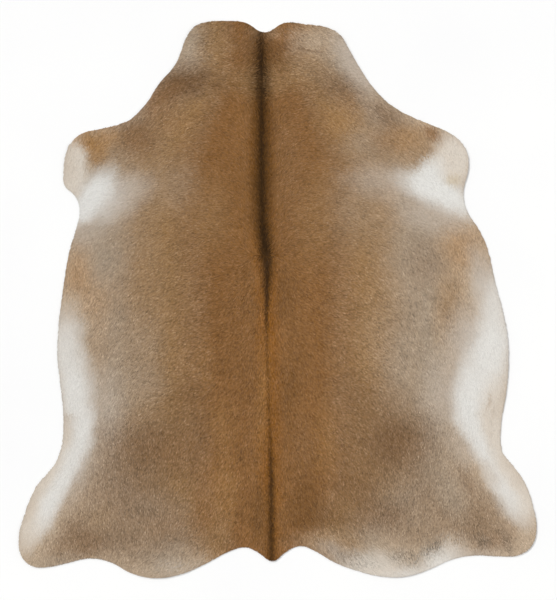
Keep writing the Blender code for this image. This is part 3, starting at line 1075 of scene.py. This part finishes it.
@dataclass(frozen=True)
class CoatFinish:
    """Short glossy cow hair."""

    name: str
    own_root: bool              # a lock's own root, rather than the place itself
    shade: float                # overall lightness
    root_painted_shade: float = 0.92    # lightness at a lock's root: painted shade under the locks above it
    tip_shade: float = 1.06     # lightness at a lock's tip
    pale_calm: float = 0.12     # how much of the locks' unevenness white hair shows
    pale_blues: Span = (0.12, 0.45)     # the blue part of brown hair and of white
    glint_paling: float = 0.20        # how far the lightest locks turn pale: painted glints of light off the hair
    glint_paling_blues: Span = (0.005, 0.08)  # the blue part of black hair and of brown
    hue_spread: float = 0.06    # how much the locks differ in depth of colour
    rim_edge_and_shadow_dark: float = 0.22     # how much darker the last hairs at the rim are: the cut edge's colour and painted contact shadow
    brown_gain: float = 0.04    # how much lighter brown hair lies than white hair
    strands: tuple[float, float, float] = (7.0, 1.5, 1.0)   # across a lock, along it, to the next
    strand_shades: Span = (0.86, 1.14)
    strand_roughness: Span = (0.62, 0.50)
    grain: float = 3.0 * MM     # the size of the spots where there are no locks
    grain_shades: Span = (0.94, 1.06)
    grain_roughness: Span = (0.62, 0.72)
    grain_relief: float = 0.5
    specular: float = 0.08

    def material(self, colours: CoatColours) -> bpy.types.Material:
        """Make the material.

        Args:
            colours: The colours by place.

        Returns:
            The material.
        """
        graph = Graph(self.name)
        sockets = (self._in_locks if self.own_root else self._on_skin)(graph, colours)
        return graph.dressed(Specular_IOR_Level=self.specular, **sockets)

    def _in_locks(self, graph: Graph, colours: CoatColours) -> dict[str, Value]:
        """Colour each lock by its own root.

        Args:
            graph: The material's nodes.
            colours: The colours by place.

        Returns:
            What the shader's sockets get.
        """
        place = graph.attribute("root", "Vector")
        each = graph.node("TexWhiteNoise", output="Value", Vector=place)
        colour = colours.build(graph, place, each)
        hair = graph.attribute("hair", "Vector")
        _, along = graph.apart(hair)
        strands = graph.noise(graph.vector("MULTIPLY", hair, self.strands), size=1.0, detail=1.0)
        pale = graph.node("SeparateColor", output="Blue", Color=colour)
        calm = graph.ease(pale, *self.pale_blues, 1.0, self.pale_calm)
        uneven = (graph.attribute("tone", "Fac") - 1.0) * calm
        # lighter locks: random tone and painted glints; the glints turn paler towards cream below
        light = graph.math("MAXIMUM", uneven, 0.0)
        glint_paling = graph.ease(pale, *self.glint_paling_blues, 0.0, self.glint_paling)
        colour = graph.mix(light * glint_paling, colour, linear(Tone.CREAM.value))
        vivid = graph.slope(each, 0.0, 1.0, 1.0 - self.hue_spread, 1.0 + self.hue_spread)
        colour = graph.node("HueSaturation", Color=colour, Saturation=vivid)
        shade = 1.0 + graph.math("MINIMUM", uneven, 0.0) + light * (1.0 - self.glint_paling)
        # painted shade towards each lock's root, lighter at its tip
        shade = shade * graph.slope(along, 0.0, 1.0, self.root_painted_shade, self.tip_shade)
        shade = shade * graph.swing(strands, *self.strand_shades) * self.shade
        # the darker line at the rim: the cut edge's colour and painted contact shadow
        shade = shade * (1.0 - graph.attribute("rim", "Fac") * self.rim_edge_and_shadow_dark)
        shade = shade * (1.0 + calm * self.brown_gain)
        roughness = graph.swing(strands, *self.strand_roughness)
        return {"Base_Color": graph.scaled(colour, shade), "Roughness": roughness}

    def _on_skin(self, graph: Graph, colours: CoatColours) -> dict[str, Value]:
        """Colour the skin's hair side, under the locks, by place.

        Args:
            graph: The material's nodes.
            colours: The colours by place.

        Returns:
            What the shader's sockets get.
        """
        place = graph.object_place()
        colour = colours.build(graph, place)
        grain = graph.noise(place, self.grain, detail=3.0)
        shade = graph.swing(grain, *self.grain_shades) * self.shade
        return {
            "Base_Color": graph.scaled(colour, shade),
            "Roughness": graph.swing(grain, *self.grain_roughness),
            "Normal": graph.bump(grain, self.grain_relief),
        }


@dataclass(frozen=True)
class SuedeFinish:
    """The napped flesh side and cut edge of a tanned hide."""

    name: str = "flesh side suede"
    pale: str = "CFC3B0"
    worn: str = "B7A68E"
    cloud: float = 120 * MM
    cloud_levels: Span = (0.35, 0.65)   # from pale to worn
    nap: float = 2.2 * MM
    nap_seed: float = 2.0
    nap_shades: Span = (0.88, 1.08)
    nap_roughness: Span = (0.86, 0.96)
    nap_relief: float = 0.6
    sheen: float = 0.2

    def material(self) -> bpy.types.Material:
        """Make the material."""
        graph = Graph(self.name)
        place = graph.object_place()
        cloud = graph.noise(place, self.cloud, detail=4.0)
        nap = graph.noise(place, self.nap, 3.0, self.nap_seed)
        share = graph.slope(cloud, *self.cloud_levels, 0.0, 1.0)
        colour = graph.mix(share, linear(self.pale), linear(self.worn))
        return graph.dressed(
            Base_Color=graph.scaled(colour, graph.swing(nap, *self.nap_shades)),
            Roughness=graph.swing(nap, *self.nap_roughness),
            Normal=graph.bump(nap, self.nap_relief),
            Sheen_Weight=self.sheen,
        )


@dataclass(frozen=True)
class FloorFinish:
    """A plain pale floor."""

    name: str = "pale floor"
    light: str = "FBFBFA"
    dim: str = "F8F8F8"
    cloud: float = 0.8
    roughness: float = 0.8
    specular: float = 0.2

    def material(self) -> bpy.types.Material:
        """Make the material."""
        graph = Graph(self.name)
        share = graph.swing(graph.noise(graph.object_place(), self.cloud), 0.0, 1.0)
        colour = graph.mix(share, linear(self.light), linear(self.dim))
        return graph.dressed(
            Base_Color=colour, Roughness=self.roughness, Specular_IOR_Level=self.specular
        )


# ---------------------------------------------------------------- the pieces

def deselect() -> None:
    """Leave nothing selected."""
    if bpy.context.mode != "OBJECT":
        bpy.ops.object.mode_set(mode="OBJECT")
    bpy.ops.object.select_all(action="DESELECT")


def take(piece: bpy.types.Object) -> None:
    """Make one piece the only one selected and the active one."""
    deselect()
    piece.select_set(True)
    bpy.context.view_layer.objects.active = piece


def placed(name: str, data: bpy.types.ID) -> bpy.types.Object:
    """Put a new object into the scene."""
    made = bpy.data.objects.new(name, data)
    bpy.context.collection.objects.link(made)
    return made


def attach(piece: bpy.types.Object) -> None:
    """Let a piece ride the hide's body."""
    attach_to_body(piece, BODY)


def report(piece: bpy.types.Object) -> None:
    """Log a piece's size and number of triangles."""
    mesh = piece.data
    mesh.calc_loop_triangles()
    size = " x ".join(f"{side:.3f}" for side in piece.dimensions)
    LOG.info("%s: %s m, %d triangles", piece.name, size, len(mesh.loop_triangles))


def grid(step: float, past: float = 0.0) -> tuple[np.ndarray, np.ndarray]:
    """Spread points evenly over the hide's length and width.

    Args:
        step: The distance between two points.
        past: How far past the hide the last points may be.

    Returns:
        The points' X and Y.
    """
    across = np.arange(-HIDE_WIDTH / 2, HIDE_WIDTH / 2 + past, step)
    along = np.arange(-HIDE_LENGTH / 2, HIDE_LENGTH / 2 + past, step)
    x, y = np.meshgrid(across, along)
    return x.ravel(), y.ravel()


@dataclass
class Skin:
    """The tanned skin: one closed sheet with a hair side and a flesh side."""

    form: HideForm
    cell: float = 9.0 * MM
    inset: float = 2.0 * MM
    rim_gap: float = 0.55           # cells between the rim and the next points
    edge_thickness: float = 1.3 * MM
    flesh: Drift = Drift(0.2 * MM, 14 * MM, 8)
    smooth_angle: float = math.radians(50.0)
    near: float = 1e-6              # points of the pattern that are this near are one

    def build(self, coat: bpy.types.Material, suede: bpy.types.Material) -> bpy.types.Object:
        """Build the sheet and dress it.

        Args:
            coat: The finish of the hair side.
            suede: The finish of the flesh side and of the cut edge.

        Returns:
            The finished piece.
        """
        points, faces = self._pattern()
        mesh = bpy.data.meshes.new("hide_skin")
        mesh.from_pydata([(x, y, 0.0) for x, y in points], [], faces)
        piece = placed("hide_skin", mesh)
        take(piece)
        solid = piece.modifiers.new("thickness", "SOLIDIFY")
        solid.thickness = SKIN_THICKNESS
        solid.offset = -1.0
        solid.material_offset = 1
        solid.material_offset_rim = 1
        mesh.materials.append(coat)
        mesh.materials.append(suede)
        bpy.ops.object.modifier_apply(modifier=solid.name)
        self._lay(piece.data)
        bpy.ops.object.shade_smooth_by_angle(angle=self.smooth_angle)
        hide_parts(NODE)
        attach(piece)
        return piece

    def _pattern(self) -> tuple[np.ndarray, list]:
        """Cut the flat pattern into small faces.

        Returns:
            Its points as X and Y, and its faces.
        """
        rim = self.form.rim - self.form.outward * self.inset
        x, y = grid(self.cell, self.cell)
        x = x + 0.5 * self.cell * (np.round(y / self.cell).astype(int) % 2)
        kept = self.form.inside(x, y)[0] > self.inset + self.rim_gap * self.cell
        points = np.vstack([rim, np.column_stack([x[kept], y[kept]])])
        loop = list(range(len(rim)))
        vertices, _, faces, *_ = geometry.delaunay_2d_cdt(
            [Vector(point) for point in points], [], [loop], 1, self.near
        )
        return np.array([tuple(point) for point in vertices]), faces

    def _lay(self, mesh: bpy.types.Mesh) -> None:
        """Give both sides their height over the floor.

        Args:
            mesh: The sheet, whose first half of points is the hair side.
        """
        count = len(mesh.vertices)
        places = np.empty(count * 3)
        mesh.vertices.foreach_get("co", places)
        places = places.reshape(count, 3)
        half = count // 2
        x, y = places[:half, 0], places[:half, 1]
        depth = self.form.inside(x, y)[0]
        full = smoothstep(depth, self.inset, self.inset + self.form.EDGE_ROUNDING)
        nap = 1.0 + drifting(x, y, self.flesh.size, self.flesh.seed)
        thin = (SKIN_THICKNESS - self.edge_thickness) * (1.0 - full)
        places[:half, 2] = self.form.skin_top(x, y) - thin
        places[half:, :2] = places[:half, :2]
        places[half:, 2] = self.form.lift(x, y) + self.flesh.strength * nap * full
        mesh.vertices.foreach_set("co", places.ravel())
        mesh.update()


@dataclass
class Coat:
    """The short hair, in locks, as a few lengthwise strips of the hide."""

    form: HideForm
    strips: int = 5
    pitch: float = 3.55 * MM        # distance between two locks' roots
    jitter: float = 0.4             # how far a root is off its even place, in pitches
    margin: float = 0.5 * MM        # how far inside the rim the last roots are
    length: float = 15.0 * MM
    lengths: Span = (0.78, 1.2)
    width: float = 3.3 * MM
    widths: Span = (0.75, 1.25)
    light_tone: float = 1.15        # a lock that is lighter than this is narrower, as a thin painted glint
    light_width: float = 0.7
    root_width: float = 0.7         # a lock's width at its root, as a share
    swerve: float = 8.0             # how unevenly the locks lie, in degrees
    roll: float = 16.0              # how unevenly they are turned on their sides
    roll_depths: Span = (0.3, 1.0)  # they turn more where the coat is deep
    rises: Span = (0.7, 1.1)        # how much of the coat's depth they take
    overhang: float = 1.2 * MM      # how far a lock's tip may pass the rim
    sunk: float = 0.3 * MM          # how far a root sits in the skin
    rim_edge_and_shadow_reach: float = 3.0 * MM      # how deep the rim's darker line is, partly the cut edge and partly painted contact shadow
    feather: float = 12.0 * MM      # how far the hairs of two colours mix
    feather_aside: float = 0.25     # the same across the lie, as a share
    uneven: float = 1.1             # how much the locks differ in lightness
    few: float = 0.14               # the part of it that makes a few locks light: painted glints
    few_limits: Span = (-1.0, 2.5)
    most: float = 0.16              # the part of it that is in all locks
    most_limits: Span = (-2.0, 2.0)
    sleek: tuple[float, float, float] = (0.45, 0.4, 0.3)    # level, reach, how much less
    mottles: tuple[Drift, ...] = (
        Drift(0.05, 5 * MM, 20),
        Drift(0.06, 10 * MM, 21),
        Drift(0.07, 34 * MM, 22),
        Drift(0.03, 110 * MM, 23),
    )
    next_lock: float = 7.3          # the strands of two locks are this far apart
    seed: int = 11

    def build(self, finish: bpy.types.Material) -> list[bpy.types.Object]:
        """Grow the coat and dress it.

        Args:
            finish: The hair's finish.

        Returns:
            The strips, from the left flank to the right.
        """
        outline, faces = self._lock()
        roots, along = self._rooted()
        chance = np.random.default_rng(self.seed + 1)
        count = len(roots)
        tones = self._tones(roots, chance)
        lengths = self.length * chance.uniform(*self.lengths, count)
        widths = self.width * chance.uniform(*self.widths, count)
        widths = widths * np.where(tones > self.light_tone, self.light_width, 1.0)
        fullness = self.form.coat(roots[:, 0], roots[:, 1]) / COAT_DEPTH
        rolls = np.radians(chance.normal(0.0, self.roll, count))
        rolls = rolls * smoothstep(fullness, *self.roll_depths)
        rises = chance.uniform(*self.rises, (count, 2))
        roots = self._kept_in(roots, along, lengths)

        aside = np.column_stack([along[:, 1], -along[:, 0]])
        flat = roots[:, None, :] + along[:, None, :] * (outline[:, 1] * lengths[:, None])[:, :, None]
        flat = flat + aside[:, None, :] * (outline[:, 0] * widths[:, None])[:, :, None]
        x, y = flat[:, :, 0], flat[:, :, 1]
        low = rises[:, :1] * smoothstep(outline[:, 1], 0.0, 0.5)
        high = (rises[:, 1:] - rises[:, :1]) * smoothstep(outline[:, 1], 0.5, 1.0)
        z = self.form.skin_top(x, y) + self.form.coat(x, y) * (low + high) - self.sunk
        z = z + outline[:, 0] * (widths * np.sin(rolls))[:, None]
        points = np.dstack([x, y, z])
        reach = (self.feather, self.feather_aside * self.feather)
        strays = chance.uniform(-1.0, 1.0, (count, 2)) * reach
        origins = roots + along * strays[:, :1] + aside * strays[:, 1:]
        # weights of the darker rim line: the cut edge's colour and painted contact shadow
        rim_edge_and_shadow = self._rim_edge_and_shadow(flat)

        ranks = np.argsort(roots[:, 0], kind="stable")
        pieces = []
        for number, chosen in enumerate(np.array_split(ranks, self.strips), start=1):
            piece = self._strip(f"coat_strip_{number}", points[chosen], faces)
            self._mark(piece, origins[chosen], tones[chosen], rim_edge_and_shadow[chosen], outline)
            piece.data.materials.append(finish)
            attach(piece)
            pieces.append(piece)
        return pieces

    def _lock(self) -> tuple[np.ndarray, list[list[int]]]:
        """Model one lock, 1 long and 1 wide, from its root at the origin along +Y.

        Returns:
            Its points and its faces.
        """
        deselect()
        bpy.ops.mesh.primitive_plane_add(size=1.0)
        piece = bpy.context.active_object
        bpy.ops.object.mode_set(mode="EDIT")
        bpy.ops.transform.translate(value=(0.0, 0.5, 0.0))
        bpy.ops.mesh.select_mode(type="EDGE")
        model = bmesh.from_edit_mesh(piece.data)
        self._choose(model, lambda one, other: abs(one.co.y - other.co.y) > 0.5)
        bpy.ops.mesh.subdivide(number_cuts=1)
        self._choose(model, lambda one, other: one.co.y > 0.9 and other.co.y > 0.9)
        bpy.ops.mesh.merge(type="CENTER")
        self._choose(model, lambda one, other: one.co.y < 0.1 and other.co.y < 0.1)
        bpy.ops.transform.resize(value=(self.root_width, 1.0, 1.0), center_override=(0.0, 0.0, 0.0))
        bpy.ops.object.mode_set(mode="OBJECT")
        points = np.array([tuple(vertex.co[:2]) for vertex in piece.data.vertices])
        faces = [list(face.vertices) for face in piece.data.polygons]
        bpy.data.objects.remove(piece)
        return points, faces

    @staticmethod
    def _choose(model: bmesh.types.BMesh, test: Callable) -> None:
        """Select the edges whose two ends pass a test."""
        for element in (*model.verts, *model.edges, *model.faces):
            element.select_set(False)
        for edge in model.edges:
            if test(*edge.verts):
                edge.select_set(True)

    def _rooted(self) -> tuple[np.ndarray, np.ndarray]:
        """Spread the roots over the hide.

        Returns:
            The roots' places and the unit vectors along which the locks lie.
        """
        chance = np.random.default_rng(self.seed)
        x, y = grid(self.pitch)
        x = x + self.pitch * chance.uniform(-self.jitter, self.jitter, len(x))
        y = y + self.pitch * chance.uniform(-self.jitter, self.jitter, len(y))
        kept = self.form.inside(x, y)[0] > self.margin
        x, y = x[kept], y[kept]
        lie = self.form.lie(x, y)
        turn = np.radians(chance.normal(0.0, self.swerve, len(x)))
        cosine, sine = np.cos(turn), np.sin(turn)
        heading = np.column_stack(
            [lie[:, 0] * cosine - lie[:, 1] * sine, lie[:, 0] * sine + lie[:, 1] * cosine]
        )
        return np.column_stack([x, y]), heading

    def _kept_in(self, roots: np.ndarray, along: np.ndarray, lengths: np.ndarray) -> np.ndarray:
        """Move locks inwards whose tips would pass the rim.

        Args:
            roots: The roots' places.
            along: The direction of each lock.
            lengths: The length of each lock.

        Returns:
            The roots' new places.
        """
        tips = roots + along * lengths[:, None]
        depth, outward = self.form.inside(tips[:, 0], tips[:, 1])
        excess = np.maximum(0.0, -depth - self.overhang)
        return roots - outward * excess[:, None]

    def _rim_edge_and_shadow(self, flat: np.ndarray) -> np.ndarray:
        """Tell how near the rim each point of each lock is, for the darker rim line of cut edge and
        painted contact shadow.

        Args:
            flat: The points' places, by locks by points by axes.

        Returns:
            From 0 well inside the hide to 1 at the rim, by locks by points.
        """
        rim_edge_and_shadow = np.zeros(flat.shape[:2])
        middle = flat.mean(axis=1)
        near = self.form.inside(middle[:, 0], middle[:, 1])[0] < self.length
        x, y = flat[near, :, 0], flat[near, :, 1]
        depth = np.maximum(self.form.inside(x.ravel(), y.ravel())[0], 0.0)
        rim_edge_and_shadow[near] = np.exp(-depth / self.rim_edge_and_shadow_reach).reshape(x.shape)
        return rim_edge_and_shadow

    def _tones(self, roots: np.ndarray, chance: np.random.Generator) -> np.ndarray:
        """Draw how light each lock is, in clumps and mottles; the few light locks stand for painted
        glints.

        Args:
            roots: The roots' places.
            chance: The source of random numbers.

        Returns:
            One factor for each lock.
        """
        x, y = roots.T
        single = self.few * np.clip(chance.exponential(1.0, len(roots)) - 1.0, *self.few_limits)
        single += self.most * np.clip(chance.normal(0.0, 1.0, len(roots)), *self.most_limits)
        level, reach, less = self.sleek
        sleek = np.maximum(0.0, 1.0 - ((y - level) / reach) ** 2)
        return stirred(1.0 + single * (self.uneven - less * sleek), self.mottles, x, y)

    @staticmethod
    def _strip(name: str, points: np.ndarray, faces: list[list[int]]) -> bpy.types.Object:
        """Join copies of the lock into one mesh.

        Args:
            name: The piece's name.
            points: Each lock's points, in an array of locks by points by axes.
            faces: One lock's faces.

        Returns:
            The piece.
        """
        count, each, _ = points.shape
        mesh = bpy.data.meshes.new(name)
        corners = np.concatenate(faces)
        sizes = np.array([len(face) for face in faces])
        loops = (np.arange(count)[:, None] * each + corners).ravel()
        starts = (np.arange(count)[:, None] * len(corners) + np.cumsum(sizes) - sizes).ravel()
        mesh.vertices.add(count * each)
        mesh.vertices.foreach_set("co", points.ravel())
        mesh.loops.add(len(loops))
        mesh.loops.foreach_set("vertex_index", loops)
        mesh.polygons.add(count * len(faces))
        mesh.polygons.foreach_set("loop_start", starts)
        mesh.polygons.foreach_set("loop_total", np.tile(sizes, count))
        mesh.update(calc_edges=True)
        mesh.polygons.foreach_set("use_smooth", np.ones(count * len(faces), dtype=bool))
        low = points.min(axis=(0, 1))[:2]
        span = points.max(axis=(0, 1))[:2] - low
        plan = (points.reshape(-1, 3)[loops, :2] - low) / span
        mesh.uv_layers.new(name="OFBake").data.foreach_set("uv", plan.ravel())
        return placed(name, mesh)

    def _mark(
        self,
        piece: bpy.types.Object,
        roots: np.ndarray,
        tones: np.ndarray,
        rim_edge_and_shadow: np.ndarray,
        outline: np.ndarray,
    ) -> None:
        """Write on the mesh what the hair's material reads.

        Args:
            piece: The strip.
            roots: The places whose colours the locks have.
            tones: How light each lock is.
            rim_edge_and_shadow: How near the rim each point is, from 0 to 1.
            outline: The lock's points, across and along it.
        """
        count, each = len(roots), len(outline)
        places = np.column_stack([roots, np.zeros(count)])
        apart = np.repeat(self.next_lock * np.arange(count), each)
        hair = np.column_stack([np.tile(outline, (count, 1)), apart])
        facts = (
            ("root", "FLOAT_VECTOR", "vector", np.repeat(places, each, axis=0)),
            ("hair", "FLOAT_VECTOR", "vector", hair),
            ("tone", "FLOAT", "value", np.repeat(tones, each)),
            # the rim attribute carries the darker rim line, partly painted contact shadow
            ("rim", "FLOAT", "value", rim_edge_and_shadow),
        )
        for name, kind, field, values in facts:
            made = piece.data.attributes.new(name, kind, "POINT")
            made.data.foreach_set(field, values.ravel())


class Sun(NamedTuple):
    """A light that falls evenly on the whole stage.

    It comes from the direction towards it, its softness is its apparent width in
    degrees, and its power is in watts a square metre on a facing surface.
    """

    name: str
    towards: tuple[float, float, float]
    softness: float
    power: float


@dataclass
class Studio:
    """The floor, the soft lights and the camera above."""

    floor_size: float = 40.0
    floor_cuts: int = 3
    suns: tuple[Sun, ...] = (
        Sun("key", (-0.62, 0.55, 1.0), 24.0, 1.9),
        Sun("fill", (0.5, -0.4, 1.6), 60.0, 0.6),
    )
    sky: float = 0.4
    height: float = 6.0
    view: float = 2.368         # how much of the floor the longer side of the view takes in
    sensor: float = 36.0
    centre: Span = (0.0036, -0.0034)

    def build(self, floor_finish: bpy.types.Material) -> None:
        """Set up the stage.

        Args:
            floor_finish: The floor's finish.
        """
        deselect()
        bpy.ops.mesh.primitive_plane_add(size=self.floor_size)
        floor = bpy.context.active_object
        floor.name = "floor"
        bpy.ops.object.mode_set(mode="EDIT")
        bpy.ops.mesh.subdivide(number_cuts=self.floor_cuts)
        bpy.ops.object.mode_set(mode="OBJECT")
        floor.data.materials.append(floor_finish)
        for sun in self.suns:
            data = bpy.data.lights.new(sun.name, "SUN")
            data.angle = math.radians(sun.softness)
            data.energy = sun.power
            turn = Vector(sun.towards).to_track_quat("Z", "Y")
            placed(sun.name, data).rotation_euler = turn.to_euler()
        world = bpy.data.worlds.new("studio")
        world.use_nodes = True
        background = world.node_tree.nodes["Background"].inputs
        background["Color"].default_value = (1.0, 1.0, 1.0, 1.0)
        background["Strength"].default_value = self.sky
        bpy.context.scene.world = world
        bpy.context.scene.view_settings.view_transform = "Standard"
        self._hang_camera()

    def _hang_camera(self) -> None:
        """Hang the camera, looking straight down."""
        data = bpy.data.cameras.new("camera")
        data.sensor_width = self.sensor
        data.lens = self.sensor * self.height / self.view
        camera = placed("camera", data)
        camera.location = (*self.centre, self.height)
        bpy.context.scene.camera = camera


def main() -> None:
    """Build the hide, the floor, the lights and the camera."""
    logging.basicConfig(level=logging.INFO, format="%(name)s: %(message)s")
    Studio().build(FloorFinish().material())
    form = HideForm(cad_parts[NODE])
    colours = CoatColours()
    on_skin = CoatFinish("hair on the skin", own_root=False, shade=1.0).material(colours)
    in_locks = CoatFinish("hair in locks", own_root=True, shade=1.04).material(colours)
    skin = Skin(form).build(on_skin, SuedeFinish().material())
    strips = Coat(form).build(in_locks)
    for piece in (skin, *strips):
        report(piece)


if __name__ == "__main__":
    main()
